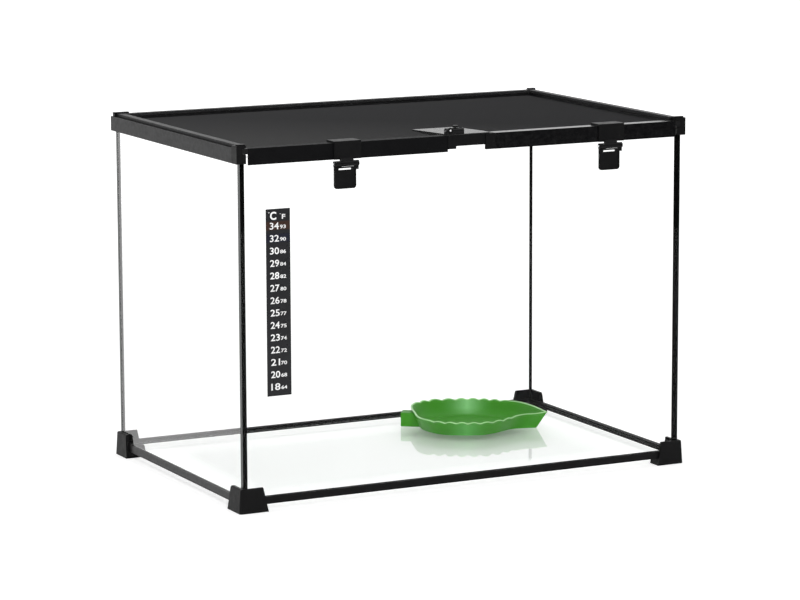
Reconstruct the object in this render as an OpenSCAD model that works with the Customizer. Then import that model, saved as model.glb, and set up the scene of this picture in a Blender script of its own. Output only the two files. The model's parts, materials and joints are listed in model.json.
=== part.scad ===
// Reptile terrarium: a glass tank on four corner feet, with a sliding mesh lid, two hinged lid clips,
// a barrel bolt at the lid's middle, a temperature strip on the glass and a leaf-shaped feeding dish.
// Millimetres. X runs along the front, Y from front to back, Z up.
// The origin is at the middle of the whole object's footprint, on the surface that it stands on.

/* [Tank] */
// Width over the feet
tank_w = 500; // [420:1:600]
// Depth over the feet
tank_d = 317.4; // [270:0.1:380]
// Height of the top frame's ridge above the ground
ridge_z = 357.5; // [300:0.5:450]
// Thickness of the glass panes
glass_t = 4; // [3:0.5:6]
// Thickness of the glass floor
floor_t = 3; // [3:0.5:6]

/* [Feet] */
// Height of a foot
foot_h = 24; // [20:0.5:32]
// Length of a foot's arms at the ground
foot_arm = 30.5; // [26:0.5:45]
// How much shorter the arms are at their top
foot_slant = 5; // [1:0.5:8]
// Width of a foot's sole, from the outside inwards
foot_sole = 16; // [13:0.5:22]
// How far a foot stands out from the side panes
foot_out_x = 5.3; // [4:0.1:8]
// How far a foot stands out from the front and back panes
foot_out_y = 4.3; // [3.5:0.1:8]
// How much a foot's outer faces lean in towards its top
foot_draft = 1.5; // [0:0.1:1.8]
// Rounding of a foot's outer corner at the ground
foot_round = 3; // [2:0.5:3.5]
// Bevel round a foot's top edge
foot_bevel = 1.2; // [0.4:0.1:2]

/* [Bottom rails] */
// Height of the bottom rails' underside above the ground
low_rail_z = 6.9; // [4:0.1:9]
// Height of a bottom rail
low_rail_h = 7.4; // [6:0.1:12]
// Outer wall of a bottom rail
low_rail_wall = 1.2; // [0.8:0.1:2]
// Thickness of a bottom rail's web and floor ledge
low_rail_web = 1; // [0.8:0.1:2]
// Inner wall of a bottom rail
low_rail_lip = 1.5; // [1:0.1:2.5]
// Width of the ledge that the glass floor lies on
floor_ledge = 2; // [1.5:0.5:12]

/* [Seals] */
// Thickness of the seal between two panes
seal_t = 1; // [0.6:0.1:2]
// Width of the bead in a corner
bead_w = 1.8; // [0.8:0.1:3]
// Width and height of the bead round the glass floor
floor_bead = 1.2; // [0.8:0.1:2.5]

/* [Top frame] */
// Width of the top rails
top_rail_w = 11.6; // [11:0.1:16]
// How far the side rails stand out from the glass
side_rail_out = 4.3; // [3.5:0.1:6]
// How far the back rail stands out from the glass
back_rail_out = 2.9; // [2.2:0.1:5]
// Height of the outer wall, from its lower edge
top_rail_h = 14.7; // [12:0.1:18]
// How far the ridge stands above the outer wall
ridge_rise = 2.9; // [1.5:0.1:4]
// Thickness of the outer wall's rim
rim_t = 1.6; // [1:0.1:2]
// Width of the groove between the rim and the ridge
groove_w = 2.9; // [1.5:0.1:3.2]
// Depth of the groove below the rim
groove_depth = 3.6; // [2:0.1:4]
// Thickness of the ridge's inner web
ridge_web = 1.2; // [0.8:0.1:1.8]
// Thickness of the ridge's flange over the lid
flange_t = 2.7; // [1.8:0.1:3.2]
// Inner wall beside the glass in a top rail
top_rail_lip = 1.5; // [1:0.1:2.5]
// How far that inner wall ends above the rail's lower edge
lip_rise = 1; // [0:0.1:3]
// How deep the glass stands in a top rail
glass_grip = 6.1; // [4:0.1:8]
// Width of the blocks that close the side rails at the front
rail_end_w = 10; // [9.5:0.1:11]
// Width of the long corner caps, at the back left and the front right
cap_long = 17.5; // [12:0.5:20]
// Width of the short corner caps
cap_short = 9.5; // [6:0.5:12]
// Depth of a corner cap from front to back
cap_d = 5.5; // [5:0.5:12]
// How far a corner cap lies in from the frame's outside
cap_inset = 1; // [0.5:0.1:4]
// Thickness of a corner cap above the ridge
cap_t = 1.2; // [1:0.1:4]
// Rounding of a corner cap
cap_round = 2; // [1:0.5:2.5]
// Height of the trim on the front pane's top edge
trim_h = 2.5; // [2:0.1:4]
// Wall of the front trim
trim_t = 0.8; // [0.6:0.1:0.8]
// How far the trim's ends lie in from the side rails
trim_inset = 8; // [2:0.5:20]

/* [Lid] */
// Thickness of the lid's frame strips
strip_t = 5.3; // [4:0.1:5.6]
// Running clearance of the lid in its rails
lid_gap = 0.3; // [0.2:0.05:0.6]
// Thickness of the mesh sheet
mesh_t = 0.8; // [0.5:0.1:1.5]
// Height of the mesh's underside above the strips' underside
mesh_lift = 1.9; // [0.5:0.1:3]
// Openings of the mesh from left to right
mesh_columns = 12; // [4:1:12]
// Openings of the mesh from front to back
mesh_rows = 7; // [3:1:8]
// Width of the bars between the mesh's openings
mesh_bar = 3; // [1.5:0.5:6]
// Width of the mesh's border
mesh_border = 4; // [3:0.5:8]
// Depth of the front bar from front to back
front_bar_d = 11.3; // [9:0.1:16]
// Height of the front bar's apron
apron_h = 16; // [12:0.5:20]
// Clearance between the apron and the front trim
apron_gap = 0.4; // [0.3:0.05:0.8]
// How far the apron's left end stops short of the bar's end
apron_short = 0.4; // [0.2:0.1:4]
// Width of the gap for the latch between the two halves of the front bar
latch_gap_w = 52.3; // [48:0.1:70]
// Distance of that gap's middle to the right of the tank's middle
latch_x = 3.45; // [-20:0.05:20]

/* [Latch] */
// Width of the latch's left bracket
left_bracket_w = 8.9; // [6:0.1:12]
// Width of the latch's right bracket
right_bracket_w = 10.5; // [6:0.1:12]
// How far the brackets stand out in front of the bar
bracket_out = 0.8; // [0.4:0.1:2]
// Height of the latch's left bracket
left_bracket_h = 13.3; // [11:0.1:16]
// Height of the latch's right bracket
right_bracket_h = 15.8; // [11:0.1:16]
// Height of the panel between the brackets
panel_h = 10.9; // [8:0.1:14]
// How far the panel's face lies behind the bar's face
panel_recess = 0.4; // [0.2:0.1:0.8]
// Width of the cover plate on the lid
cover_w = 47; // [44:0.5:60]
// Depth of the cover plate
cover_d = 75; // [50:0.5:100]
// Thickness of the cover plate
cover_t = 1; // [0.8:0.1:3]
// Wall of the cover plate's folded sides
cover_edge = 1.2; // [0.8:0.1:2]
// Diameter of the bolt's barrel
barrel_d = 5.9; // [5:0.1:8]
// Length of the bolt's barrel
barrel_l = 15.7; // [15.5:0.1:20]
// Length of the barrel's left end before the slot for the knob
barrel_lead = 6.2; // [4:0.1:6.4]
// Length of the keeper that the bolt's end enters
keeper_l = 3; // [2:0.1:4]
// Gap between the keeper and the barrel
keeper_gap = 0.6; // [0.3:0.1:1.5]
// Diameter of the steel bolt
bolt_d = 2.6; // [2:0.1:3]
// Length of the steel bolt
bolt_l = 15; // [14:0.1:15.5]
// How far the bolt slides
bolt_travel = 6; // [4:0.5:6]
// Width of the knob's stem
stem_d = 2; // [1.4:0.1:2.2]
// Length of the knob
knob_l = 5.5; // [4:0.1:8]
// Width of the knob
knob_w = 4; // [3:0.1:6]
// Height of the knob above the barrel
knob_h = 2.1; // [1.5:0.1:4]

/* [Clips] */
// Distance of the left clip's middle from the frame's left end
clip_from_left = 116.6; // [90:0.1:180]
// Distance of the right clip's middle from the frame's right end
clip_from_right = 87.5; // [60:0.1:170]
// Width of a clip's saddle
saddle_w = 28.8; // [24:0.1:40]
// How far a saddle reaches over the mesh behind the front bar
saddle_back = 4; // [1:0.5:8]
// Thickness of a clip's saddle
saddle_t = 1.7; // [1.2:0.1:2.5]
// Width of the neck between saddle and hinge
neck_w = 13.3; // [9:0.1:14.5]
// How far the neck's middle lies to the right of the saddle's middle
neck_shift = -1.6; // [-6:0.1:-1]
// Height of a clip's hinge below the apron's lower edge
hinge_drop = 3.7; // [3:0.1:8]
// Distance of a clip's hinge in front of the front bar
hinge_out = 4.8; // [4.6:0.1:6]
// Diameter of a clip's knuckles
knuckle_d = 5.5; // [4.8:0.1:6]
// Diameter of a clip's pin
clip_pin_d = 2.4; // [1.6:0.1:2.8]
// Width of a clip's tab
tab_w = 23.2; // [22:0.1:26]
// How far the tab's middle lies to the right of the saddle's middle
tab_shift = -4.9; // [-5.5:0.1:-4]
// Width of the tab's right knuckle
right_knuckle_w = 4.3; // [3:0.1:6]
// Clearance beside and between the knuckles
side_gap = 0.3; // [0.2:0.05:0.5]
// Radial clearance of a tab or bolt on its pin or in its bore
pin_gap = 0.05; // [0.02:0.01:0.1]
// How far a clip's pin stands out of its knuckles
pin_reach = 0.6; // [0:0.1:1.5]
// Length of a clip's tab below its hinge
tab_l = 24.2; // [18:0.1:32]
// Thickness of a clip's tab
tab_t = 1.8; // [1.2:0.1:2.4]
// Raised rim round a clip's tab
tab_rim = 0.6; // [0.3:0.1:0.9]
// Width of the rim round a clip's tab
tab_rim_w = 1.6; // [1:0.1:2.5]
// Rounding of a tab's lower corners
tab_round = 3; // [1.5:0.5:5]
// Length of the slot in a tab
slot_l = 14; // [8:0.1:16]
// Width of the slot in a tab
slot_w = 1.8; // [1.2:0.1:3]
// Distance of the slot's middle below the hinge
slot_drop = 5.2; // [4.7:0.1:8]

/* [Temperature strip] */
// Width of the temperature strip
strip_w = 25.5; // [16:0.5:32]
// Length of the temperature strip
strip_l = 182.2; // [120:0.1:230]
// Thickness of the temperature strip
strip_film = 0.5; // [0.3:0.1:1]
// Distance of the strip's left edge from the front pane's left end
strip_from_left = 26.7; // [10:0.1:200]
// Height of the strip's lower edge
strip_z = 112.5; // [40:0.5:120]

/* [Dish] */
// Length of the dish from its blunt end to its tip
dish_l = 150; // [100:1:158]
// Width of the dish
dish_w = 132; // [90:1:140]
// Height of the dish
dish_h = 19.3; // [12:0.1:24]
// Wall of the dish
dish_wall = 2.4; // [1.8:0.1:4]
// Floor of the dish
dish_floor = 2.6; // [2:0.1:5]
// How far the rim leans out over the base
dish_flare = 12; // [4:0.5:16]
// Width of the dish's stem
stem_w = 15; // [10:0.5:20]
// Length of the stem beyond half the dish's length
stem_l = 6.5; // [3:0.1:16]
// Height of the stem
stem_h = 15.5; // [8:0.5:17]
// Distance of the dish's middle from the right pane
dish_from_right = 118.2; // [90:0.1:150]
// Distance of the dish's middle from the back pane
dish_from_back = 96.4; // [80:0.1:150]
// Turn of the dish about the vertical
dish_turn = -38; // [-60:1:0]
// Turn of the stem against the dish's length
stem_turn = 3; // [-30:1:30]

/* [Hidden] */
$fn = 64;
cut = 1;
skin = 0.01;

// The leaf's outline in shares of half its length and half its width, from its tip round its left side
leaf_points = [[1, 0.06], [0.72, 0.55], [0.42, 0.85], [-0.1, 1], [-0.6, 0.88], [-0.88, 0.7], [-1, 0.25],
               [-0.86, -0.35], [-0.68, -0.82], [-0.35, -1], [0.15, -0.96], [0.43, -0.71], [0.66, -0.25], [0.86, -0.1]];
leaf_steps = 4;

// The glass box
glass_x = tank_w / 2 - foot_out_x;
glass_y = tank_d / 2 - foot_out_y;
inner_x = glass_x - glass_t;
inner_y = glass_y - glass_t;
glass_z = low_rail_z + low_rail_web;
floor_top = glass_z + floor_t;
lip_x = inner_x - low_rail_lip;
lip_y = inner_y - low_rail_lip;
low_rail_top = low_rail_z + low_rail_h;
low_rail_x = glass_x + low_rail_wall;
low_rail_y = glass_y + low_rail_wall;
low_rail_w = low_rail_wall + glass_t + low_rail_lip + floor_ledge;

// The top frame
frame_x = glass_x + side_rail_out;
frame_y = glass_y + back_rail_out;
rim_z = ridge_z - ridge_rise;
frame_z = rim_z - top_rail_h;
glass_top = frame_z + glass_grip;
channel_top = ridge_z - flange_t;
channel_z = channel_top - strip_t - 2 * lid_gap;
channel_back = rim_t + groove_w + ridge_web;
rail_in_x = frame_x - top_rail_w;
lip_z = frame_z + lip_rise;

// The lid
strip_x_out = frame_x - channel_back - lid_gap;
strip_x_in = rail_in_x - lid_gap;
strip_y_out = frame_y - channel_back - lid_gap;
strip_y_in = frame_y - top_rail_w - lid_gap;
strip_low = channel_z + lid_gap;
strip_top = strip_low + strip_t;
mesh_z = strip_low + mesh_lift;
mesh_top = mesh_z + mesh_t;
apron_z = strip_top - apron_h;
trim_y = glass_y + trim_t;
apron_back = trim_y + apron_gap;
bar_back = frame_y - front_bar_d;

// The latch
gap_left = latch_x - latch_gap_w / 2;
gap_right = latch_x + latch_gap_w / 2;
bracket_in_left = gap_left + left_bracket_w;
bracket_in_right = gap_right - right_bracket_w;
cover_top = strip_top + cover_t;
bolt_y = apron_back - barrel_d / 2 + bracket_out;
bolt_z = cover_top + barrel_d / 2;
bolt_r = bolt_d / 2;
keeper_x = -cover_w / 2;
bolt_x = keeper_x - pin_reach;
barrel_x = keeper_x + keeper_l + keeper_gap;
stem_x = barrel_x + barrel_lead + side_gap + stem_d / 2;

// The clips, with Y counted forwards from the front bar's face
clip_x = [clip_from_left - frame_x, frame_x - clip_from_right];
hinge_z = apron_z - hinge_drop;
knuckle_r = knuckle_d / 2;
pin_r = clip_pin_d / 2;
tab_left = tab_shift - tab_w / 2;
tab_right = tab_shift + tab_w / 2;
neck_left = neck_shift - neck_w / 2;
neck_right = neck_shift + neck_w / 2;
knuckle_end = neck_right + side_gap + right_knuckle_w;
tab_top = hinge_z - knuckle_r - side_gap;

// The object's middle lies a little in front of the tank's, because the clips stand out
clip_reach = frame_y + hinge_out + knuckle_r;
tank_y = (clip_reach - tank_d / 2) / 2;

// Moves a piece from the tank's own frame, centred on the glass box, to the object's
module on_tank() {
    translate([0, tank_y, 0]) children();
}

// Takes a piece of the right back quarter to another quarter: sx and sy are 1 or -1
module quarter(sx, sy) {
    mirror([sx < 0 ? 1 : 0, 0, 0]) mirror([0, sy < 0 ? 1 : 0, 0]) children();
}

// A box from its low corner to its high corner
module span(low, high) {
    translate(low) cube(high - low);
}

// A rectangle with round corners, from its lower left corner
module round_rect(w, d, r) {
    translate([r, 0]) square([w - 2 * r, d]);
    translate([0, r]) square([w, d - 2 * r]);
    for (x = [r, w - r], y = [r, d - r]) translate([x, y]) circle(r);
}

// Extrudes a profile drawn in (Y, Z) along X
module along_x(x0, x1) {
    translate([x0, 0, 0]) rotate([90, 0, 90]) linear_extrude(x1 - x0) children();
}

// Extrudes a profile drawn in (X, Z) along Y
module along_y(y0, y1) {
    translate([0, y1, 0]) rotate([90, 0, 0]) linear_extrude(y1 - y0) children();
}

// A rod along X
module rod_x(x0, x1, r) {
    translate([x0, 0, 0]) rotate([0, 90, 0]) cylinder(h = x1 - x0, r = r);
}

// A foot's arm seen from the side, with its slanted end
module foot_arm_profile(outer) {
    top = outer - foot_draft;
    polygon([[outer - foot_arm, 0], [outer, 0], [top, foot_h - foot_bevel], [top - foot_bevel, foot_h],
             [outer - foot_arm + foot_slant, foot_h]]);
}

// The same arm seen from its end
module foot_end_profile(outer) {
    top = outer - foot_draft;
    polygon([[outer - foot_sole, 0], [outer, 0], [top, foot_h - foot_bevel], [top - foot_bevel, foot_h],
             [outer - foot_sole, foot_h]]);
}

// The foot of the right back corner
module foot() {
    x = tank_w / 2;
    y = tank_d / 2;
    top_round = foot_round - foot_draft;
    difference() {
        intersection() {
            union() {
                intersection() {
                    along_y(y - foot_sole, y) foot_arm_profile(x);
                    along_x(x - foot_arm, x) foot_end_profile(y);
                }
                intersection() {
                    along_x(x - foot_sole, x) foot_arm_profile(y);
                    along_y(y - foot_arm, y) foot_end_profile(x);
                }
            }
            union() {
                span([x - foot_arm, y - foot_arm, 0], [x - foot_round, y, foot_h]);
                span([x - foot_arm, y - foot_arm, 0], [x, y - foot_round, foot_h]);
                translate([x - foot_round, y - foot_round, 0]) {
                    cylinder(h = foot_h - foot_bevel, r1 = foot_round, r2 = top_round);
                    cylinder(h = foot_h, r = top_round);
                }
            }
        }
        span([0, 0, low_rail_z], [low_rail_x, low_rail_y, low_rail_top]);
        span([0, 0, low_rail_z], [glass_x, glass_y, foot_h + cut]);
    }
}

module foot_at(sx, sy) {
    color([0.04, 0.04, 0.045]) on_tank() quarter(sx, sy) foot();
}

// Bottom rail's profile, for a pane whose outer face is at the given distance
module low_rail_profile(glass) {
    lip = glass - glass_t - low_rail_lip;
    polygon([[glass + low_rail_wall, low_rail_z], [glass + low_rail_wall, low_rail_top], [glass, low_rail_top],
             [glass, glass_z], [glass - glass_t, glass_z], [glass - glass_t, low_rail_top],
             [lip, low_rail_top], [lip, glass_z], [lip - floor_ledge, glass_z], [lip - floor_ledge, low_rail_z]]);
}

// The plan of a mitred rail along X, whose outer edge is at +Y
module mitre_plan(x, y, w) {
    polygon([[-x, y], [x, y], [x - w, y - w], [w - x, y - w]]);
}

module bottom_rail_x(sy) {
    color([0.04, 0.04, 0.045]) on_tank() quarter(1, sy) intersection() {
        along_x(-low_rail_x, low_rail_x) low_rail_profile(glass_y);
        linear_extrude(ridge_z) mitre_plan(low_rail_x, low_rail_y, low_rail_w);
    }
}

module bottom_rail_y(sx) {
    color([0.04, 0.04, 0.045]) on_tank() quarter(sx, 1) intersection() {
        along_y(-low_rail_y, low_rail_y) low_rail_profile(glass_x);
        linear_extrude(ridge_z) rotate(-90) mitre_plan(low_rail_y, low_rail_x, low_rail_w);
    }
}

module floor_pane() {
    color([0.85, 0.93, 0.9, 0.4]) on_tank()
        span([-lip_x, -lip_y, glass_z], [lip_x, lip_y, floor_top]);
}

module floor_seal() {
    in_x = lip_x - floor_bead;
    in_y = lip_y - floor_bead;
    color([0.05, 0.05, 0.055]) on_tank() difference() {
        span([-lip_x, -lip_y, floor_top], [lip_x, lip_y, floor_top + floor_bead]);
        span([-in_x, -in_y, floor_top - cut], [in_x, in_y, floor_top + floor_bead + cut]);
    }
}

// The front and back panes cover the side panes' ends
module long_pane(sy) {
    color([0.85, 0.93, 0.9, 0.3]) on_tank() quarter(1, sy)
        span([-glass_x, inner_y, glass_z], [glass_x, glass_y, glass_top]);
}

module side_pane(sx) {
    end_y = inner_y - seal_t;
    color([0.85, 0.93, 0.9, 0.3]) on_tank() quarter(sx, 1)
        span([inner_x, -end_y, glass_z], [glass_x, end_y, glass_top]);
}

// The seal fills the joint between two panes and has a bead on the inside
module corner_seal(sx, sy) {
    end_y = inner_y - seal_t;
    color([0.05, 0.05, 0.055]) on_tank() quarter(sx, sy) {
        span([inner_x, end_y, glass_z], [glass_x, inner_y, glass_top]);
        translate([0, 0, low_rail_top]) linear_extrude(lip_z - low_rail_top)
            polygon([[glass_x, inner_y], [inner_x - bead_w, inner_y], [inner_x, end_y - bead_w],
                     [inner_x, end_y], [glass_x, end_y]]);
    }
}

// Top rail's profile: a slot for the glass below, the lid's channel and its ridge above.
// outer is the place of the rail's outside, out is how far it stands out from the glass
module top_rail_profile(outer, out) {
    function at(u) = outer - u;
    slot_in = out + glass_t;
    polygon([[at(0), frame_z], [at(0), rim_z], [at(rim_t), rim_z], [at(rim_t), rim_z - groove_depth],
             [at(rim_t + groove_w), rim_z - groove_depth], [at(rim_t + groove_w), ridge_z],
             [at(top_rail_w), ridge_z], [at(top_rail_w), channel_top], [at(channel_back), channel_top],
             [at(channel_back), channel_z], [at(top_rail_w), channel_z], [at(top_rail_w), glass_top],
             [at(slot_in + top_rail_lip), glass_top], [at(slot_in + top_rail_lip), lip_z], [at(slot_in), lip_z],
             [at(slot_in), glass_top], [at(out), glass_top], [at(out), frame_z]]);
}

module top_rail_y(sx) {
    color([0.04, 0.04, 0.045]) on_tank() quarter(sx, 1) difference() {
        along_y(top_rail_w - frame_y, frame_y) top_rail_profile(frame_x, side_rail_out);
        linear_extrude(ridge_z + cut) polygon([[frame_x, frame_y], [frame_x, frame_y + cut],
            [frame_x - top_rail_w - cut, frame_y + cut], [frame_x - top_rail_w - cut, frame_y - top_rail_w - cut]]);
    }
}

// Its inner wall stops at the side panes
module top_rail_back() {
    color([0.04, 0.04, 0.045]) on_tank() difference() {
        intersection() {
            along_x(-frame_x, frame_x) top_rail_profile(frame_y, back_rail_out);
            linear_extrude(ridge_z + cut) mitre_plan(frame_x, frame_y, top_rail_w);
        }
        for (sx = [-1, 1]) quarter(sx, 1)
            span([inner_x, inner_y - 2 * top_rail_lip, frame_z - cut], [glass_x, inner_y, glass_top]);
    }
}

// The block that closes a side rail at the front, with the lid's channel left open
module rail_end(sx) {
    back = frame_y - top_rail_w;
    color([0.04, 0.04, 0.045]) on_tank() quarter(sx, -1) difference() {
        span([frame_x - rail_end_w, back, frame_z], [frame_x, frame_y, ridge_z]);
        span([rail_in_x - cut, back - cut, frame_z - cut], [glass_x, glass_y, glass_top]);
        span([rail_in_x - cut, back - cut, channel_z], [frame_x - channel_back, frame_y + cut, channel_top]);
    }
}

module corner_cap(sx, sy) {
    w = sx == sy ? cap_short : cap_long;
    color([0.05, 0.05, 0.055]) on_tank() quarter(sx, sy)
        translate([frame_x - cap_inset - w, frame_y - cap_inset - cap_d, ridge_z])
            linear_extrude(cap_t) round_rect(w, cap_d, cap_round);
}

module front_trim() {
    in_y = inner_y - trim_t;
    trim_z = glass_top - trim_h;
    end_x = rail_in_x - trim_inset;
    color([0.04, 0.04, 0.045]) on_tank() quarter(1, -1) along_x(-end_x, end_x)
        polygon([[in_y, trim_z], [inner_y, trim_z], [inner_y, glass_top], [glass_y, glass_top], [glass_y, trim_z],
                 [trim_y, trim_z], [trim_y, glass_top + trim_t], [in_y, glass_top + trim_t]]);
}

module temperature_strip() {
    strip_x = strip_from_left - glass_x;
    color([0.08, 0.08, 0.1]) on_tank()
        span([strip_x, -glass_y - strip_film, strip_z], [strip_x + strip_w, -glass_y, strip_z + strip_l]);
}

module lid_strip_y(sx) {
    color([0.04, 0.04, 0.045]) on_tank() quarter(sx, 1)
        span([strip_x_in, -frame_y, strip_low], [strip_x_out, strip_y_out, strip_top]);
}

module lid_strip_back() {
    color([0.04, 0.04, 0.045]) on_tank()
        span([-strip_x_in, strip_y_in, strip_low], [strip_x_in, strip_y_out, strip_top]);
}

// The mesh as a plain grid, in place of its fine weave
module lid_mesh() {
    w = 2 * strip_x_in;
    d = strip_y_in + bar_back;
    step_x = (w - 2 * mesh_border + mesh_bar) / mesh_columns;
    step_y = (d - 2 * mesh_border + mesh_bar) / mesh_rows;
    color([0.15, 0.15, 0.16]) on_tank() translate([-strip_x_in, -bar_back, mesh_z]) linear_extrude(mesh_t)
        difference() {
            square([w, d]);
            for (i = [0:mesh_columns - 1], j = [0:mesh_rows - 1])
                translate([mesh_border + i * step_x, mesh_border + j * step_y])
                    square([step_x - mesh_bar, step_y - mesh_bar]);
        }
}

// The front bar lies on the lid's edge and hangs in front of the glass
module front_bar(x0, x1, face) {
    quarter(1, -1) along_x(x0, x1)
        polygon([[face, apron_z], [face, strip_top], [bar_back, strip_top], [bar_back, strip_low],
                 [apron_back, strip_low], [apron_back, apron_z]]);
}

// The apron's left end leaves a slit beside the rail's end block
module lid_bar_left() {
    color([0.03, 0.03, 0.035]) on_tank() difference() {
        front_bar(-strip_x_in, gap_left, frame_y);
        span([-strip_x_in - cut, -frame_y - cut, apron_z - cut],
             [apron_short - strip_x_in, cut - apron_back, strip_low]);
    }
}

module lid_bar_right() {
    color([0.03, 0.03, 0.035]) on_tank() front_bar(gap_right, strip_x_in, frame_y);
}

// A bracket is a front bar's short length with a thicker face
module latch_bracket(x0, x1, h) {
    color([0.06, 0.06, 0.065]) on_tank() intersection() {
        front_bar(x0, x1, frame_y + bracket_out);
        span([x0, -tank_d, strip_top - h], [x1, 0, strip_top]);
    }
}

module latch_bracket_left() {
    latch_bracket(gap_left, bracket_in_left, left_bracket_h);
}

module latch_bracket_right() {
    latch_bracket(bracket_in_right, gap_right, right_bracket_h);
}

module latch_panel() {
    color([0.06, 0.06, 0.065]) on_tank() intersection() {
        front_bar(bracket_in_left, bracket_in_right, frame_y - panel_recess);
        span([gap_left, -tank_d, strip_top - panel_h], [gap_right, 0, strip_top]);
    }
}

// A thin plate that lies on the bar and slopes down to the mesh behind it, with its sides folded down
module latch_cover() {
    half = cover_w / 2;
    back = cover_d - frame_y;
    color([0.05, 0.05, 0.055]) on_tank() {
        along_x(-half, half)
            polygon([[-frame_y, strip_top], [-bar_back, strip_top], [back, mesh_top], [back, mesh_top + cover_t],
                     [-bar_back, cover_top], [-frame_y, cover_top]]);
        for (side = [-1, 1]) quarter(side, 1) along_x(half - cover_edge, half)
            polygon([[-bar_back, mesh_top], [back, mesh_top], [back, mesh_top + cover_t], [-bar_back, cover_top]]);
    }
}

// Stands a piece that is drawn round the X axis at the bolt's axis
module at_bolt() {
    translate([0, -bolt_y, bolt_z]) children();
}

// A tube on a foot as wide as the tube, bored for the bolt
module bolt_tube(x0, x1) {
    r = barrel_d / 2;
    difference() {
        union() {
            rod_x(x0, x1, r);
            span([x0, -r, -r], [x1, r, 0]);
        }
        rod_x(x0 - cut, x1 + cut, bolt_r + pin_gap);
    }
}

module latch_keeper() {
    color([0.05, 0.05, 0.055]) on_tank() at_bolt() bolt_tube(keeper_x, keeper_x + keeper_l);
}

module latch_barrel() {
    half = stem_d / 2 + side_gap;
    color([0.05, 0.05, 0.055]) on_tank() at_bolt() difference() {
        bolt_tube(barrel_x, barrel_x + barrel_l);
        span([stem_x - half, -half, 0], [stem_x + bolt_travel + half, half, barrel_d]);
    }
}

module latch_bolt() {
    color([0.8, 0.8, 0.82]) on_tank() at_bolt() rod_x(bolt_x, bolt_x + bolt_l, bolt_r);
}

// The knob stands on the bolt and rides over the barrel
module latch_knob() {
    low = barrel_d / 2 + side_gap;
    color([0.04, 0.04, 0.045]) on_tank() at_bolt() difference() {
        union() {
            translate([stem_x, 0, 0]) cylinder(h = low + knob_h / 2, d = stem_d);
            translate([stem_x - knob_l / 2, -knob_w / 2, low])
                linear_extrude(knob_h) round_rect(knob_l, knob_w, knob_w / 3);
        }
        rod_x(stem_x - stem_d, stem_x + stem_d, bolt_r);
    }
}

// Stands a clip's piece at its place: X from the saddle's middle, Y forwards from the bar's face
module at_clip(i) {
    translate([clip_x[i], -frame_y, 0]) mirror([0, 1, 0]) children();
}

// A knuckle drawn round the clip's hinge
module at_hinge() {
    translate([0, hinge_out, hinge_z]) children();
}

module clip_saddle(i) {
    half = saddle_w / 2;
    color([0.04, 0.04, 0.045]) on_tank() at_clip(i) difference() {
        union() {
            span([-half, -front_bar_d, strip_top], [half, saddle_t, strip_top + saddle_t]);
            span([-half, -front_bar_d - saddle_back, mesh_top], [half, -front_bar_d, strip_top + saddle_t]);
            span([-half, 0, apron_z], [half, saddle_t, strip_top + saddle_t]);
            along_x(neck_left, neck_right) polygon([[0, apron_z], [0, apron_z + saddle_t],
                [saddle_t, apron_z + saddle_t], [hinge_out, hinge_z + knuckle_r], [hinge_out, hinge_z],
                [hinge_out - knuckle_r, hinge_z]]);
            at_hinge() rod_x(neck_left, neck_right, knuckle_r);
        }
        at_hinge() rod_x(neck_left - cut, neck_right + cut, pin_r);
    }
}

module clip_pin(i) {
    color([0.8, 0.8, 0.82]) on_tank() at_clip(i) at_hinge()
        rod_x(tab_left - pin_reach, knuckle_end + pin_reach, pin_r);
}

// The tab hangs from two knuckles beside the neck
module clip_tab(i) {
    low = hinge_z - tab_l;
    back = -tab_t / 2;
    color([0.04, 0.04, 0.045]) on_tank() at_clip(i) difference() {
        union() {
            at_hinge() {
                rod_x(tab_left, neck_left - side_gap, knuckle_r);
                rod_x(neck_right + side_gap, knuckle_end, knuckle_r);
            }
            span([tab_left, hinge_out + back, tab_top - tab_round], [neck_left - side_gap, hinge_out - back, hinge_z]);
            span([neck_right + side_gap, hinge_out + back, tab_top - tab_round],
                 [knuckle_end, hinge_out - back, hinge_z]);
            span([tab_left, hinge_out + back, tab_top - tab_round], [tab_right, hinge_out - back, tab_top]);
            tab_plate(low, hinge_out + back, hinge_out - back, 0);
            difference() {
                tab_plate(low, hinge_out + back, hinge_out - back + tab_rim, 0);
                tab_plate(low, hinge_out - back, hinge_out - back + tab_rim + cut, tab_rim_w);
            }
        }
        at_hinge() rod_x(tab_left - cut, knuckle_end + cut, pin_r + pin_gap);
        span([tab_shift - slot_l / 2, 0, hinge_z - slot_drop - slot_w / 2],
             [tab_shift + slot_l / 2, 2 * hinge_out, hinge_z - slot_drop + slot_w / 2]);
    }
}

// The tab's plate with its round corners, drawn in by the given margin
module tab_plate(low, y0, y1, margin) {
    translate([tab_left + margin, y1, low + margin]) rotate([90, 0, 0]) linear_extrude(y1 - y0)
        round_rect(tab_w - 2 * margin, tab_top - low - 2 * margin, tab_round - margin / 2);
}

// A smooth curve's point at the share t between b and c, with a before them and d after
function smooth(a, b, c, d, t) =
    b + (c - a) * t / 2 + (2 * a - 5 * b + 4 * c - d) * pow(t, 2) / 2 + (3 * b - a - 3 * c + d) * pow(t, 3) / 2;

// The leaf's outline, smooth but for its tip, in shares of half its length and half its width
function leaf() = let (n = len(leaf_points), p = leaf_points) [
    for (i = [0:n - 1], k = [0:leaf_steps - 1])
        smooth(p[max(i - 1, 0)], p[i], p[(i + 1) % n], p[i == n - 1 ? 0 : (i + 2) % n], k / leaf_steps)
];

// A body between two such outlines, each drawn in by its own margin
module leaf_body(z0, z1, low_margin, high_margin) {
    low = [dish_l / 2 - low_margin, dish_w / 2 - low_margin];
    high = [dish_l / 2 - high_margin, dish_w / 2 - high_margin];
    translate([0, 0, z0]) linear_extrude(z1 - z0, slices = 1, scale = [high.x / low.x, high.y / low.y])
        scale(low) polygon(leaf());
}

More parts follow.
